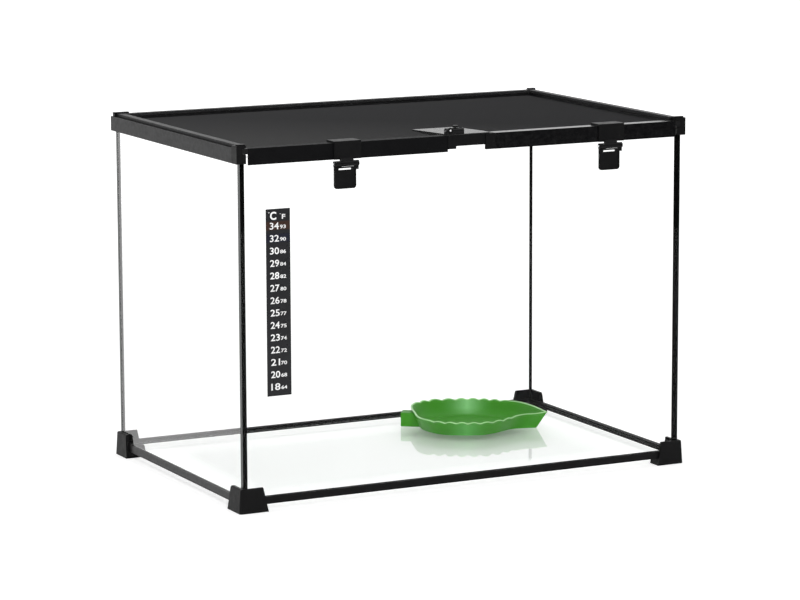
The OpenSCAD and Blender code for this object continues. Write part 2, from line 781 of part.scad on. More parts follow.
module feeding_dish() {
    color([0.3, 0.62, 0.28]) on_tank() translate([inner_x - dish_from_right, inner_y - dish_from_back, floor_top])
        rotate(dish_turn) difference() {
            union() {
                leaf_body(0, dish_h, dish_flare, 0);
                rotate(stem_turn) translate([-dish_l / 2 - stem_l, -stem_w / 2, 0])
                    cube([stem_l + dish_l / 4, stem_w, stem_h]);
            }
            leaf_body(dish_floor, dish_h + skin, dish_flare + dish_wall, dish_wall);
        }
}

foot_at(-1, -1);  // foot_front_left
foot_at(1, -1);  // foot_front_right
foot_at(-1, 1);  // foot_back_left
foot_at(1, 1);  // foot_back_right
bottom_rail_x(-1);  // bottom_rail_front
bottom_rail_x(1);  // bottom_rail_back
bottom_rail_y(-1);  // bottom_rail_left
bottom_rail_y(1);  // bottom_rail_right
floor_pane();
floor_seal();
long_pane(-1);  // front_pane
long_pane(1);  // back_pane
side_pane(-1);  // left_pane
side_pane(1);  // right_pane
corner_seal(-1, -1);  // corner_seal_front_left
corner_seal(1, -1);  // corner_seal_front_right
corner_seal(-1, 1);  // corner_seal_back_left
corner_seal(1, 1);  // corner_seal_back_right
top_rail_y(-1);  // top_rail_left
top_rail_y(1);  // top_rail_right
top_rail_back();
rail_end(-1);  // rail_end_left
rail_end(1);  // rail_end_right
corner_cap(-1, -1);  // corner_cap_front_left
corner_cap(1, -1);  // corner_cap_front_right
corner_cap(-1, 1);  // corner_cap_back_left
corner_cap(1, 1);  // corner_cap_back_right
front_trim();
temperature_strip();
lid_strip_y(-1);  // lid_strip_left
lid_strip_y(1);  // lid_strip_right
lid_strip_back();
lid_mesh();
lid_bar_left();
lid_bar_right();
latch_bracket_left();
latch_bracket_right();
latch_panel();
latch_cover();
latch_keeper();
latch_barrel();
latch_bolt();
latch_knob();
clip_saddle(0);  // clip_saddle_left
clip_pin(0);  // clip_pin_left
clip_tab(0);  // clip_tab_left
clip_saddle(1);  // clip_saddle_right
clip_pin(1);  // clip_pin_right
clip_tab(1);  // clip_tab_right
feeding_dish();
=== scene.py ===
import json
import math

import bmesh
import bpy
from mathutils import Matrix, Vector


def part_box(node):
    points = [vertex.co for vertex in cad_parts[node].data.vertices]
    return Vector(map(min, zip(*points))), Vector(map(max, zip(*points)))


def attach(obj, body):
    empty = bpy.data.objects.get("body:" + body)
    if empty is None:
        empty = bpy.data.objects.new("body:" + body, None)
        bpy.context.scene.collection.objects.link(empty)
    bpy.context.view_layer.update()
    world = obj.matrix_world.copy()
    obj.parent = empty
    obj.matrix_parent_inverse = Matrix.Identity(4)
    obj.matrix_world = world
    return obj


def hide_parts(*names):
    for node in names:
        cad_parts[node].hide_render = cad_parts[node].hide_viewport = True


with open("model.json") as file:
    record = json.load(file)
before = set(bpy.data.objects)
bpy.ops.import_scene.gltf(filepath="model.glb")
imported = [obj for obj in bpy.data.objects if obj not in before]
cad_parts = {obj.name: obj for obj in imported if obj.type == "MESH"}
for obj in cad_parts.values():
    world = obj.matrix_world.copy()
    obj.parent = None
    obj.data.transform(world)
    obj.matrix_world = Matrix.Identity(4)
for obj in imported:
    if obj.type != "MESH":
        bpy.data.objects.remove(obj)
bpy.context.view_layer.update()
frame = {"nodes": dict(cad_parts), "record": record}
nodes = frame["nodes"]
MM = 0.001
bpy.context.scene.view_settings.view_transform = "Standard"


# Helpers

def lo(node):
    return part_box(node)[0]


def hi(node):
    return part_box(node)[1]


def tank_centre_y():
    return (lo("front_pane").y + hi("back_pane").y) / 2


def linked(name, data):
    obj = bpy.data.objects.new(name, data)
    bpy.context.scene.collection.objects.link(obj)
    return obj


def turn_outward(mesh):
    shape = bmesh.new()
    shape.from_mesh(mesh)
    bmesh.ops.recalc_face_normals(shape, faces=shape.faces)
    shape.to_mesh(mesh)
    shape.free()


def mesh_object(name, verts, faces, body, material):
    """A mesh that rides on a body, or lies on the stage where body is None."""
    mesh = bpy.data.meshes.new(name)
    mesh.from_pydata([tuple(v) for v in verts], [], faces)
    mesh.validate()
    mesh.materials.append(material)
    obj = linked(name, mesh)
    if body:
        turn_outward(mesh)
        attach(obj, body)
    return obj


# Camera: yaw, pitch and roll in degrees, fitted to the photograph's edges

CAMERA_YAW = -26.908
CAMERA_PITCH = 9.644
CAMERA_ROLL = -0.208
CAMERA_LENS = 152.93
SENSOR_WIDTH = 36.0
CAMERA_FROM_TANK = Vector((-1.5578, -3.0774, 0.7525))
CAMERA_REACH = 50


def make_camera():
    yaw, pitch, roll = (math.radians(a) for a in (CAMERA_YAW, CAMERA_PITCH, CAMERA_ROLL))
    back = Vector((math.sin(yaw) * math.cos(pitch), -math.cos(yaw) * math.cos(pitch), math.sin(pitch)))
    level = (-back).cross(Vector((0, 0, 1))).normalized()
    upright = back.cross(level)
    right = math.cos(roll) * level + math.sin(roll) * upright
    up = -math.sin(roll) * level + math.cos(roll) * upright
    data = bpy.data.cameras.new("camera")
    data.sensor_width = SENSOR_WIDTH
    data.lens = CAMERA_LENS
    data.clip_end = CAMERA_REACH
    camera = linked("camera", data)
    place = CAMERA_FROM_TANK + Vector((0, tank_centre_y(), 0))
    camera.matrix_world = Matrix.Translation(place) @ Matrix((right, up, back)).transposed().to_4x4()
    bpy.context.scene.camera = camera


# Shader nodes

def new_material(name):
    material = bpy.data.materials.new(name)
    material.use_nodes = True
    tree = material.node_tree
    tree.nodes.clear()
    out = tree.nodes.new("ShaderNodeOutputMaterial")
    return material, tree, out


def principled(tree, out, colour, roughness, **extra):
    shader = tree.nodes.new("ShaderNodeBsdfPrincipled")
    shader.inputs["Base Color"].default_value = (*colour, 1)
    shader.inputs["Roughness"].default_value = roughness
    for key, value in extra.items():
        shader.inputs[key.replace("_", " ")].default_value = value
    if out:
        tree.links.new(shader.outputs[0], out.inputs["Surface"])
    return shader


def object_point(tree):
    return tree.nodes.new("ShaderNodeTexCoord").outputs["Object"]


def surface_normal(tree):
    return tree.nodes.new("ShaderNodeNewGeometry").outputs["Normal"]


def noise(tree, scale, detail, stretch=None):
    node = tree.nodes.new("ShaderNodeTexNoise")
    node.inputs["Scale"].default_value = scale
    node.inputs["Detail"].default_value = detail
    point = object_point(tree)
    if stretch:
        mapping = tree.nodes.new("ShaderNodeMapping")
        mapping.inputs["Scale"].default_value = stretch
        tree.links.new(point, mapping.inputs["Vector"])
        point = mapping.outputs[0]
    tree.links.new(point, node.inputs["Vector"])
    return node.outputs["Fac"]


def ramp(tree, value, low, high, start=0.3, end=0.7):
    """A value that goes from low to high while the given one goes from start to end."""
    node = tree.nodes.new("ShaderNodeMapRange")
    node.inputs["From Min"].default_value = start
    node.inputs["From Max"].default_value = end
    node.inputs["To Min"].default_value = low
    node.inputs["To Max"].default_value = high
    tree.links.new(value, node.inputs["Value"])
    return node.outputs[0]


def add_bump(tree, shader, height, distance):
    bump = tree.nodes.new("ShaderNodeBump")
    bump.inputs["Distance"].default_value = distance
    tree.links.new(height, bump.inputs["Height"])
    tree.links.new(bump.outputs[0], shader.inputs["Normal"])


def mix_colour(tree, share, first, second):
    """A mix of two colours, each a tuple or a socket."""
    node = tree.nodes.new("ShaderNodeMix")
    node.data_type = "RGBA"
    for socket, value in ((node.inputs[6], first), (node.inputs[7], second)):
        if isinstance(value, tuple):
            socket.default_value = (*value, 1)
        else:
            tree.links.new(value, socket)
    tree.links.new(share, node.inputs[0])
    return node.outputs[2]


def mix_shaders(tree, share, first, second):
    node = tree.nodes.new("ShaderNodeMixShader")
    for socket, value in zip(node.inputs, (share, first.outputs[0], second.outputs[0])):
        tree.links.new(value, socket)
    return node


def maths(tree, kind, *values):
    """A Math node on sockets or numbers."""
    node = tree.nodes.new("ShaderNodeMath")
    node.operation = kind
    for socket, value in zip(node.inputs, values):
        if isinstance(value, (int, float)):
            socket.default_value = value
        else:
            tree.links.new(value, socket)
    return node.outputs[0]


def distance_between(tree, value, place):
    return maths(tree, "ABSOLUTE", maths(tree, "SUBTRACT", value, place))


def axis_of(tree, vector, axis):
    split = tree.nodes.new("ShaderNodeSeparateXYZ")
    tree.links.new(vector, split.inputs[0])
    return split.outputs[axis]


def weighted(tree, vector, weights):
    """The sum of a vector's X and Y with these weights."""
    x, y = (maths(tree, "MULTIPLY", axis_of(tree, vector, i), weights[i]) for i in (0, 1))
    return maths(tree, "ADD", x, y)


def seen_rays(tree):
    """1 for rays from the camera, mirrors and glass, else 0."""
    path = tree.nodes.new("ShaderNodeLightPath")
    mirrored = maths(tree, "MAXIMUM", path.outputs["Is Camera Ray"], path.outputs["Is Glossy Ray"])
    return maths(tree, "MAXIMUM", mirrored, path.outputs["Is Transmission Ray"])


# Plastics

# Each one's colour, roughness, depth of grain in metres and specular level
PLASTICS = {
    "black_plastic": ((0.0055, 0.0055, 0.0058), 0.36, 0.00001, 0.24),
    "foot_plastic": ((0.0048, 0.0048, 0.0050), 0.40, 0.00003, 0.10),
    "rail_plastic": ((0.018, 0.018, 0.0185), 0.42, 0.00002, 0.14),
    "bar_left": ((0.0040, 0.0040, 0.0044), 0.55, 0.00001, 0.05),
    "bar_right": ((0.0030, 0.0030, 0.0034), 0.16, 0.00001, 0.40),
    "cover_plate": ((0.012, 0.012, 0.012), 0.24, 0.00001, 0.55),
    "black_seal": ((0.0030, 0.0030, 0.0030), 0.34, 0.00001, 0.08),
    "strip_film": ((0.013, 0.013, 0.015), 0.30, 0.00001, 0.2),
    # green_rim: a paler green on the dish's rounded lip, a painted highlight
    "green_rim": ((0.27, 0.54, 0.21), 0.30, 0.00001, 0.5),
    "white_ink": ((0.80, 0.80, 0.80), 0.5, 0.0, 0.2),
}
CLOUD_SCALE, WEAR_SCALE, GRAIN_SCALE = 60, 220, 2600
CLOUD_LIFT = 1.35
WEAR_SMOOTHER, WEAR_ROUGHER = 0.05, 0.07
FINE_GRAIN = 0.00001


def plastic(name):
    """Moulded plastic with faint clouds in its colour, uneven gloss and a fine grain."""
    colour, roughness, grain, specular = PLASTICS[name]
    material, tree, out = new_material(name)
    shader = principled(tree, out, colour, roughness)
    shader.inputs["Specular IOR Level"].default_value = specular
    lighter = tuple(c * CLOUD_LIFT if c * CLOUD_LIFT < 1 else 1 for c in colour)
    cloud = ramp(tree, noise(tree, CLOUD_SCALE, 3), 0, 1)
    tree.links.new(mix_colour(tree, cloud, colour, lighter), shader.inputs["Base Color"])
    worn = ramp(tree, noise(tree, WEAR_SCALE, 3), roughness - WEAR_SMOOTHER, roughness + WEAR_ROUGHER)
    tree.links.new(worn, shader.inputs["Roughness"])
    add_bump(tree, shader, noise(tree, GRAIN_SCALE, 2), grain)
    return material


# Painted light and shade: each green has a shaded copy for faces that look up, as inside the bowl, and a lit
# copy for faces that look down, as outside it. The second pair is the colour of a painted highlight.
GREEN_UP_SHADED, GREEN_DOWN_LIT = (0.046, 0.248, 0.016), (0.066, 0.370, 0.022)
HIGHLIGHT_UP_SHADED, HIGHLIGHT_DOWN_LIT = (0.230, 0.570, 0.210), (0.220, 0.740, 0.190)
GREEN_ROUGHNESS, GREEN_SPECULAR = 0.34, 0.06
SIDE_BLEND = 0.3
# The painted highlight band's direction in plan, its place across it, half its width, and how squarely walls
# face it
HIGHLIGHT_FACING = (-0.473, -0.881)
HIGHLIGHT_PLACE = 70 * MM
HIGHLIGHT_HALF = 30 * MM
HIGHLIGHT_START, HIGHLIGHT_FULL = 0.3, 0.8


def green_plastic():
    """Green plastic with painted light and shade: deeper on faces that look up, as inside the bowl, and
    paler on faces that look down, as outside it. A soft paler band on the walls that face forwards is a
    painted highlight, where the photographed dish has its highlight."""
    material, tree, out = new_material("green_plastic")
    shader = principled(tree, out, GREEN_UP_SHADED, GREEN_ROUGHNESS)
    shader.inputs["Specular IOR Level"].default_value = GREEN_SPECULAR
    normal = surface_normal(tree)
    # Painted highlight: a soft paler band across the dish on the walls that face forwards
    across = weighted(tree, object_point(tree), (-HIGHLIGHT_FACING[1], HIGHLIGHT_FACING[0]))
    near = ramp(tree, distance_between(tree, across, HIGHLIGHT_PLACE), 1, 0, 0, HIGHLIGHT_HALF)
    forward = ramp(tree, weighted(tree, normal, HIGHLIGHT_FACING), 0, 1, HIGHLIGHT_START, HIGHLIGHT_FULL)
    painted_highlight = maths(tree, "MULTIPLY", maths(tree, "MULTIPLY", near, near), forward)
    # Painted shade on faces that look up and painted light on faces that look down
    inside = ramp(tree, axis_of(tree, normal, 2), 0, 1, -SIDE_BLEND, SIDE_BLEND)
    plain = mix_colour(tree, inside, GREEN_DOWN_LIT, GREEN_UP_SHADED)
    painted_sheen = mix_colour(tree, inside, HIGHLIGHT_DOWN_LIT, HIGHLIGHT_UP_SHADED)
    tree.links.new(mix_colour(tree, painted_highlight, plain, painted_sheen), shader.inputs["Base Color"])
    add_bump(tree, shader, noise(tree, GRAIN_SCALE, 2), FINE_GRAIN)
    return material


# Metals and wire

# The wire's dark colour, and a painted sheen: its paler colour, its direction and its reach towards the
# lid's front left
WIRE_DARK = (0.011, 0.011, 0.012)
WIRE_SHEEN = (0.034, 0.034, 0.034)
WIRE_ROUGHNESS, WIRE_SPECULAR = 0.45, 0.15
SHEEN_TOWARDS = (-0.8, -1.0)
SHEEN_REACH = 0.28
STEEL_COLOUR, STEEL_ROUGHNESS = (0.72, 0.72, 0.74), 0.25
PIN_COLOUR, PIN_ROUGHNESS, PIN_METAL = (0.75, 0.75, 0.76), 0.45, 0.3
BRUSH_SCALE, BRUSH_STRETCH = 900, (1, 30, 30)


def wire_material():
    """Dark wire with a painted sheen: a little paler towards the lid's front left."""
    material, tree, out = new_material("mesh_wire")
    shader = principled(tree, out, WIRE_DARK, WIRE_ROUGHNESS)
    shader.inputs["Specular IOR Level"].default_value = WIRE_SPECULAR
    # Painted sheen towards the lid's front left
    painted_sheen = ramp(tree, weighted(tree, object_point(tree), SHEEN_TOWARDS), 0, 1, 0, SHEEN_REACH)
    tree.links.new(mix_colour(tree, painted_sheen, WIRE_DARK, WIRE_SHEEN), shader.inputs["Base Color"])
    return material


def steel():
    """Bright steel, brushed along X."""
    material, tree, out = new_material("steel")
    shader = principled(tree, out, STEEL_COLOUR, STEEL_ROUGHNESS, Metallic=1.0)
    add_bump(tree, shader, noise(tree, BRUSH_SCALE, 2, BRUSH_STRETCH), FINE_GRAIN)
    return material


def bright_pin():
    material, tree, out = new_material("bright_pin")
    principled(tree, out, PIN_COLOUR, PIN_ROUGHNESS, Metallic=PIN_METAL)
    return material


# Glass

GLASS_IOR = 1.5
PANE_TINT = (0.997, 0.999, 0.9975)
FLOOR_TINT = (0.99, 0.996, 0.992)
PANE_EDGE = (0.020, 0.026, 0.025)
FLOOR_EDGE = (0.10, 0.14, 0.13)
EDGE_ROUGHNESS = 0.25
# The floor pane's cut edges glow with painted light, in place of the light that the sheet leads to them
EDGE_LIGHT_COLOUR = (0.94, 1, 0.97, 1)
FLOOR_EDGE_LIGHT = 0.85
# Inside the bottom rails the floor's mirror starts at the first distance and is full at the second
MIRROR_NONE = 22 * MM
MIRROR_FULL = 45 * MM


def glass(name, thin_axis, mirror_ior, tint=PANE_TINT, edge=PANE_EDGE, fade=None, edge_light=0):
    """A clear pane that bends the rays from the camera, mirrors and glass and lets light through straight.
    thin_axis is its faces' normal, its outward face mirrors, and its cut edges have the colour edge.
    fade gives the share of the mirror at a point. edge_light is the strength of a painted glow on the cut
    edges, in place of the light that the sheet leads to them."""
    material, tree, out = new_material(name)
    geometry = tree.nodes.new("ShaderNodeNewGeometry")
    normal = axis_of(tree, geometry.outputs["Normal"], thin_axis)
    entering = maths(tree, "SUBTRACT", 1, geometry.outputs["Backfacing"])
    place = axis_of(tree, object_point(tree), thin_axis)
    outward = maths(tree, "GREATER_THAN", maths(tree, "MULTIPLY", normal, place), 0)
    fresnel = tree.nodes.new("ShaderNodeFresnel")
    fresnel.inputs["IOR"].default_value = mirror_ior
    once = fresnel.outputs[0]
    both_faces = maths(tree, "DIVIDE", maths(tree, "MULTIPLY", once, 2), maths(tree, "ADD", once, 1))
    share = maths(tree, "MULTIPLY", maths(tree, "MULTIPLY", both_faces, entering), outward)
    if fade:
        share = maths(tree, "MULTIPLY", share, fade(tree))
    bent = tree.nodes.new("ShaderNodeBsdfRefraction")
    bent.inputs["Color"].default_value = (*tint, 1)
    bent.inputs["Roughness"].default_value = 0.0
    bent.inputs["IOR"].default_value = GLASS_IOR
    mirror = tree.nodes.new("ShaderNodeBsdfGlossy")
    mirror.inputs["Roughness"].default_value = 0.0
    straight = tree.nodes.new("ShaderNodeBsdfTransparent")
    straight.inputs["Color"].default_value = (*tint, 1)
    face = mix_shaders(tree, seen_rays(tree), straight, mix_shaders(tree, share, bent, mirror))
    cut = principled(tree, None, edge, EDGE_ROUGHNESS)
    # Painted light: the cut edges glow
    cut.inputs["Emission Color"].default_value = EDGE_LIGHT_COLOUR
    cut.inputs["Emission Strength"].default_value = edge_light
    on_edge = maths(tree, "LESS_THAN", maths(tree, "ABSOLUTE", normal), 0.5)
    tree.links.new(mix_shaders(tree, on_edge, face, cut).outputs[0], out.inputs["Surface"])
    return material


def away_from_rails(tree):
    """0 beside the bottom rails and 1 from MIRROR_FULL inside them, for a point of the floor pane."""
    low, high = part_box("floor_pane")
    gaps = []
    for axis in (0, 1):
        middle = (low[axis] + high[axis]) / 2
        off_middle = distance_between(tree, axis_of(tree, object_point(tree), axis), middle)
        gaps.append(maths(tree, "SUBTRACT", (high[axis] - low[axis]) / 2, off_middle))
    return ramp(tree, maths(tree, "MINIMUM", *gaps), 0, 1, MIRROR_NONE, MIRROR_FULL)


# Which material each node gets: by the start of its name, or else by its slot

MATERIALS = {name: plastic(name) for name in PLASTICS}
MATERIALS["green_plastic"] = green_plastic()
MATERIALS["mesh"] = wire_material()
MATERIALS["steel"] = steel()
MATERIALS["bright_pin"] = bright_pin()
MATERIALS["glass_long"] = glass("glass_long", 1, 1.15)
MATERIALS["glass_side"] = glass("glass_side", 0, 1.5)
MATERIALS["glass_floor"] = glass("glass_floor", 2, 1.2, FLOOR_TINT, FLOOR_EDGE, away_from_rails,
                                 FLOOR_EDGE_LIGHT)

OWN_MATERIAL = {
    "foot": "foot_plastic", "clip_saddle": "foot_plastic", "clip_tab": "foot_plastic",
    "latch_bracket": "foot_plastic", "latch_panel": "foot_plastic", "rail_end": "foot_plastic",
    "corner_cap": "foot_plastic", "bottom_rail_front": "foot_plastic", "bottom_rail_right": "foot_plastic",
    "bottom_rail_back": "foot_plastic", "top_rail": "rail_plastic", "latch_cover": "cover_plate",
    "lid_bar_left": "bar_left", "lid_bar_right": "bar_right", "front_pane": "glass_long",
    "back_pane": "glass_long", "left_pane": "glass_side", "right_pane": "glass_side",
    "floor_pane": "glass_floor",
}
BEVEL_MM = {
    "foot": 0.7, "top_rail": 0.35, "rail_end": 0.4, "corner_cap": 0.4, "lid_bar_left": 0.12,
    "lid_bar_right": 0.4, "latch": 0.25, "clip_saddle": 0.35, "clip_tab": 0.2, "bottom_rail": 0.2,
}
BEVEL_FROM_ANGLE = math.radians(40)


def by_start(table, name, otherwise):
    """The table's entry for the start of a node's name."""
    return next((entry for start, entry in table.items() if name.startswith(start)), otherwise)


def bevel_node(obj, width):
    modifier = obj.modifiers.new("soft_edges", "BEVEL")
    modifier.width = width
    modifier.segments = 2
    modifier.limit_method = "ANGLE"
    modifier.angle_limit = BEVEL_FROM_ANGLE
    modifier.harden_normals = True


def dress_nodes():
    slots = {part["node"]: part["material_slot"] for part in frame["record"]["subparts"]}
    for name, obj in nodes.items():
        obj.data.materials.clear()
        obj.data.materials.append(MATERIALS[by_start(OWN_MATERIAL, name, slots[name])])
        width = by_start(BEVEL_MM, name, 0)
        if width:
            bevel_node(obj, width * MM)


# Plugs that close the back rail's groove under the corner caps

GROOVE_OUT = 1.7 * MM
GROOVE_IN = 4.5 * MM
GROOVE_DEEP = 6.5 * MM


def corner_plug(side, cap):
    """An L-shaped block in the groove under a back cap. side is -1 for the left cap and 1 for the right."""
    low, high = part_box(cap)
    frame_low, frame_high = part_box("top_rail_back")
    outer = Vector((frame_high.x if side > 0 else frame_low.x, frame_high.y))
    inner_end = abs(outer.x - (low.x if side > 0 else high.x))
    depth = outer.y - low.y
    plan = ((GROOVE_OUT, GROOVE_OUT), (inner_end, GROOVE_OUT), (inner_end, GROOVE_IN),
            (GROOVE_IN, GROOVE_IN), (GROOVE_IN, depth), (GROOVE_OUT, depth))
    n = len(plan)
    verts = [(outer.x - side * u, outer.y - v, z) for z in (low.z - GROOVE_DEEP, low.z) for u, v in plan]
    faces = [tuple(range(n)), tuple(range(n, 2 * n))]
    faces += [(i, (i + 1) % n, n + (i + 1) % n, n + i) for i in range(n)]
    piece = mesh_object(f"plug_{cap}", verts, faces, "tank", MATERIALS["foot_plastic"])


# Boss at the bolt's end: a bright pin in a dark ring

BOSS_X = 0.3 * MM
BOSS_RISE = 0.8 * MM
BOSS_R = 2.9 * MM
BOSS_T = 0.5 * MM
PIN_R = 1.0 * MM
PIN_T = 0.3 * MM
BOSS_STEPS, PIN_STEPS = 40, 24
# The rounded front edge: shares of the radius and of the thickness
DISC_EDGE = ((1, 0), (1, 0.6), (0.93, 0.88), (0.8, 1))


def round_boss(name, centre, radius, thickness, steps, material):
    """A disc that faces forwards, with a rounded front edge."""
    verts, faces = [], []
    for wide, forward in DISC_EDGE:
        for i in range(steps):
            a = 2 * math.pi * i / steps
            r = radius * wide
            verts.append(centre + Vector((r * math.cos(a), -thickness * forward, r * math.sin(a))))
    for k in range(len(DISC_EDGE) - 1):
        for i in range(steps):
            j = (i + 1) % steps
            faces.append((k * steps + i, k * steps + j, (k + 1) * steps + j, (k + 1) * steps + i))
    last = (len(DISC_EDGE) - 1) * steps
    faces += [tuple(range(steps))[::-1], tuple(range(last, last + steps))]
    piece = mesh_object(name, verts, faces, "lid", MATERIALS[material])


def bolt_boss():
    low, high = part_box("latch_barrel")
    front = Vector((low.x + BOSS_X, low.y, (low.z + high.z) / 2 + BOSS_RISE))
    round_boss("latch_boss", front, BOSS_R, BOSS_T, BOSS_STEPS, "foot_plastic")
    round_boss("latch_pin", front - Vector((0, BOSS_T, 0)), PIN_R, PIN_T, PIN_STEPS, "bright_pin")


# Lid mesh: two layers of straight wires, pressed a little into each other

WIRE_PITCH = 1.5 * MM
WIRE_R = 0.17 * MM
LAYER_RISE = 0.7 * WIRE_R


def add_wire(verts, faces, start, end, axis):
    """A wire of four sides from start to end along an axis, with closed ends."""
    n = len(verts)
    for point in (start, end):
        for a, b in ((1, 0), (0, 1), (-1, 0), (0, -1)):
            side = Vector((0, a, b)) if axis == 0 else Vector((a, 0, b))
            verts.append(point + side * WIRE_R)
    for i in range(4):
        j = (i + 1) % 4
        faces.append((n + i, n + j, n + 4 + j, n + 4 + i))
    faces.append((n + 3, n + 2, n + 1, n))
    faces.append((n + 4, n + 5, n + 6, n + 7))


def wire_mesh():
    low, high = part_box("lid_mesh")
    verts, faces = [], []
    for axis in (0, 1):
        other = 1 - axis
        count = int((high[other] - low[other]) / WIRE_PITCH)
        first = (low[other] + high[other] - (count - 1) * WIRE_PITCH) / 2
        z = (low.z + high.z) / 2 + (LAYER_RISE if axis == 0 else -LAYER_RISE)
        for i in range(count):
            start, end = low.copy(), high.copy()
            start[other] = end[other] = first + i * WIRE_PITCH
            start.z = end.z = z
            add_wire(verts, faces, start, end, axis)
    piece = mesh_object("woven_mesh", verts, faces, "lid", MATERIALS["mesh"])
    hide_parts("lid_mesh")


# Temperature strip: white numerals and two tinted windows

STRIP_ROWS = ((34, 93), (32, 90), (30, 86), (29, 84), (28, 82), (27, 80), (26, 78),
              (25, 77), (24, 75), (23, 74), (22, 72), (21, 70), (20, 68), (18, 64))
ROW_PITCH = 12.05 * MM
FIRST_ROW = 16.3 * MM
LEFT_MARGIN, RIGHT_MARGIN = 4.0 * MM, 4.6 * MM
BIG_H, BIG_W, BIG_WEIGHT = 6.7 * MM, 9.6 * MM, 0.12 * MM
SMALL_H, SMALL_W, SMALL_WEIGHT = 3.5 * MM, 6.2 * MM, 0.08 * MM
SMALL_RISE = 0.4 * MM
HEADING_DROP = 10.2 * MM
# The heading's letters: text, height, the margin they count from, shift, rise, weight and width, in mm
HEADING = (("C", 7.6, "left", 0.4, 0.0, 0.3, 6.6), ("F", 4.6, "right", -4.0, 0.2, 0.1, 3.6),
           ("o", 1.6, "left", -1.6, 6.4, 0.0, 1.6), ("o", 1.2, "right", -6.2, 4.6, 0.0, 1.2))
INK_T = 0.06 * MM
CAP_HEIGHT = 0.729
LETTER_STEPS = 4
WELD = 0.001 * MM
WINDOW_HALF = 3.6 * MM
WINDOW_FADE = 1 * MM
WINDOW_TINTS = ((0.042, 0.020, 0.014), (0.010, 0.011, 0.022))


def letters(text, height, x, z, weight, width):
    """The mesh of a line of characters standing in the XZ plane, with its lower left corner at (x, z)."""
    curve = bpy.data.curves.new("letters", "FONT")
    curve.body = text
    curve.size = height / CAP_HEIGHT
    curve.extrude = INK_T / 2
    curve.offset = weight
    curve.resolution_u = LETTER_STEPS
    obj = linked("letters", curve)
    graph = bpy.context.evaluated_depsgraph_get()
    mesh = bpy.data.meshes.new_from_object(obj.evaluated_get(graph))
    left = min(v.co.x for v in mesh.vertices)
    stretch = width / (max(v.co.x for v in mesh.vertices) - left)
    for v in mesh.vertices:
        v.co = Vector((x + (v.co.x - left) * stretch, v.co.z, z + v.co.y))
    bpy.data.objects.remove(obj)
    bpy.data.curves.remove(curve)
    return mesh


def joined(meshes, name, body, material):
    """One piece of several meshes, which are removed."""
    shape = bmesh.new()
    for mesh in meshes:
        shape.from_mesh(mesh)
        bpy.data.meshes.remove(mesh)
    bmesh.ops.remove_doubles(shape, verts=shape.verts, dist=WELD)
    bmesh.ops.recalc_face_normals(shape, faces=shape.faces)
    mesh = bpy.data.meshes.new(name)
    shape.to_mesh(mesh)
    shape.free()
    mesh.materials.append(material)
    obj = linked(name, mesh)
    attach(obj, body)
    return obj


def strip_print():
    low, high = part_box("temperature_strip")
    margin = {"left": low.x + LEFT_MARGIN, "right": high.x - RIGHT_MARGIN}
    parts = []
    for row, (celsius, fahrenheit) in enumerate(STRIP_ROWS):
        z = high.z - FIRST_ROW - BIG_H / 2 - row * ROW_PITCH
        parts.append(letters(str(celsius), BIG_H, margin["left"], z, BIG_WEIGHT, BIG_W))
        small_x = margin["right"] - SMALL_W
        parts.append(letters(str(fahrenheit), SMALL_H, small_x, z + SMALL_RISE, SMALL_WEIGHT, SMALL_W))
    for text, height, side, shift, rise, weight, width in HEADING:
        x, z = margin[side] + shift * MM, high.z - HEADING_DROP + rise * MM
        parts.append(letters(text, height * MM, x, z, weight * MM, width * MM))
    ink = joined(parts, "strip_numerals", "tank", MATERIALS["white_ink"])
    ink.location.y = low.y - INK_T / 2


def tint_windows():
    """A trace of brown and blue in the first two windows, as liquid crystals show near their temperature."""
    tree = MATERIALS["strip_film"].node_tree
    base = next(node for node in tree.nodes if node.type == "BSDF_PRINCIPLED").inputs["Base Color"]
    colour = base.links[0].from_socket
    height = axis_of(tree, object_point(tree), 2)
    for row, tint in enumerate(WINDOW_TINTS):
        middle = hi("temperature_strip").z - FIRST_ROW - row * ROW_PITCH
        off_middle = distance_between(tree, height, middle)
        window = ramp(tree, off_middle, 1, 0, WINDOW_HALF, WINDOW_HALF + WINDOW_FADE)
        colour = mix_colour(tree, window, colour, tint)
    tree.links.new(colour, base)


# Leaf dish: a thin-walled bowl with a scalloped rim, and its stem

DISH_L = 150 * MM
DISH_W = 132 * MM
DISH_H = 19.3 * MM
DISH_WALL = 2.2 * MM
DISH_FLOOR = 2.6 * MM
DISH_FROM_RIGHT = 118.2 * MM
DISH_FROM_BACK = 96.4 * MM
DISH_TURN = math.radians(-38)
DISH_STEPS = 280

# The outlines of the rim and the underside in shares of half the rim's length and width, from the tip
# round the left
RIM_POINTS = ((1, 0.06), (0.72, 0.55), (0.42, 0.85), (-0.1, 1), (-0.6, 0.88), (-0.88, 0.7),
              (-1, 0.25), (-0.86, -0.35), (-0.68, -0.82), (-0.35, -1), (0.15, -0.96),
              (0.43, -0.71), (0.66, -0.25), (0.86, -0.1))
FOOT_POINTS = ((0.83, 0.14), (0.6, 0.44), (0.34, 0.68), (-0.1, 0.82), (-0.52, 0.73), (-0.73, 0.58),
               (-0.84, 0.21), (-0.78, -0.24), (-0.6, -0.52), (-0.33, -0.68), (0.11, -0.61),
               (0.31, -0.41), (0.49, -0.05), (0.68, 0.08))

# Notches of the rim: their pitch, depth and set-back, how the pitch sways, and the stretch in degrees
SCALLOP_PITCH = 14 * MM
SCALLOP_DROP = 1.7 * MM
SCALLOP_IN = 1.6 * MM
SCALLOP_SWAY, SWAY_LENGTH = 0.45, 17 * MM
CREST_SOFT = 0.02
SCALLOP_FROM, SCALLOP_TO, SCALLOP_FADE = 50, 150, 18
RIGHT_SIDE_DEEPER = 1.4
# How far down the wall the notches reach, and their share just under the rim
NOTCH_REACH = 0.55
NOTCH_SHARE = 0.6

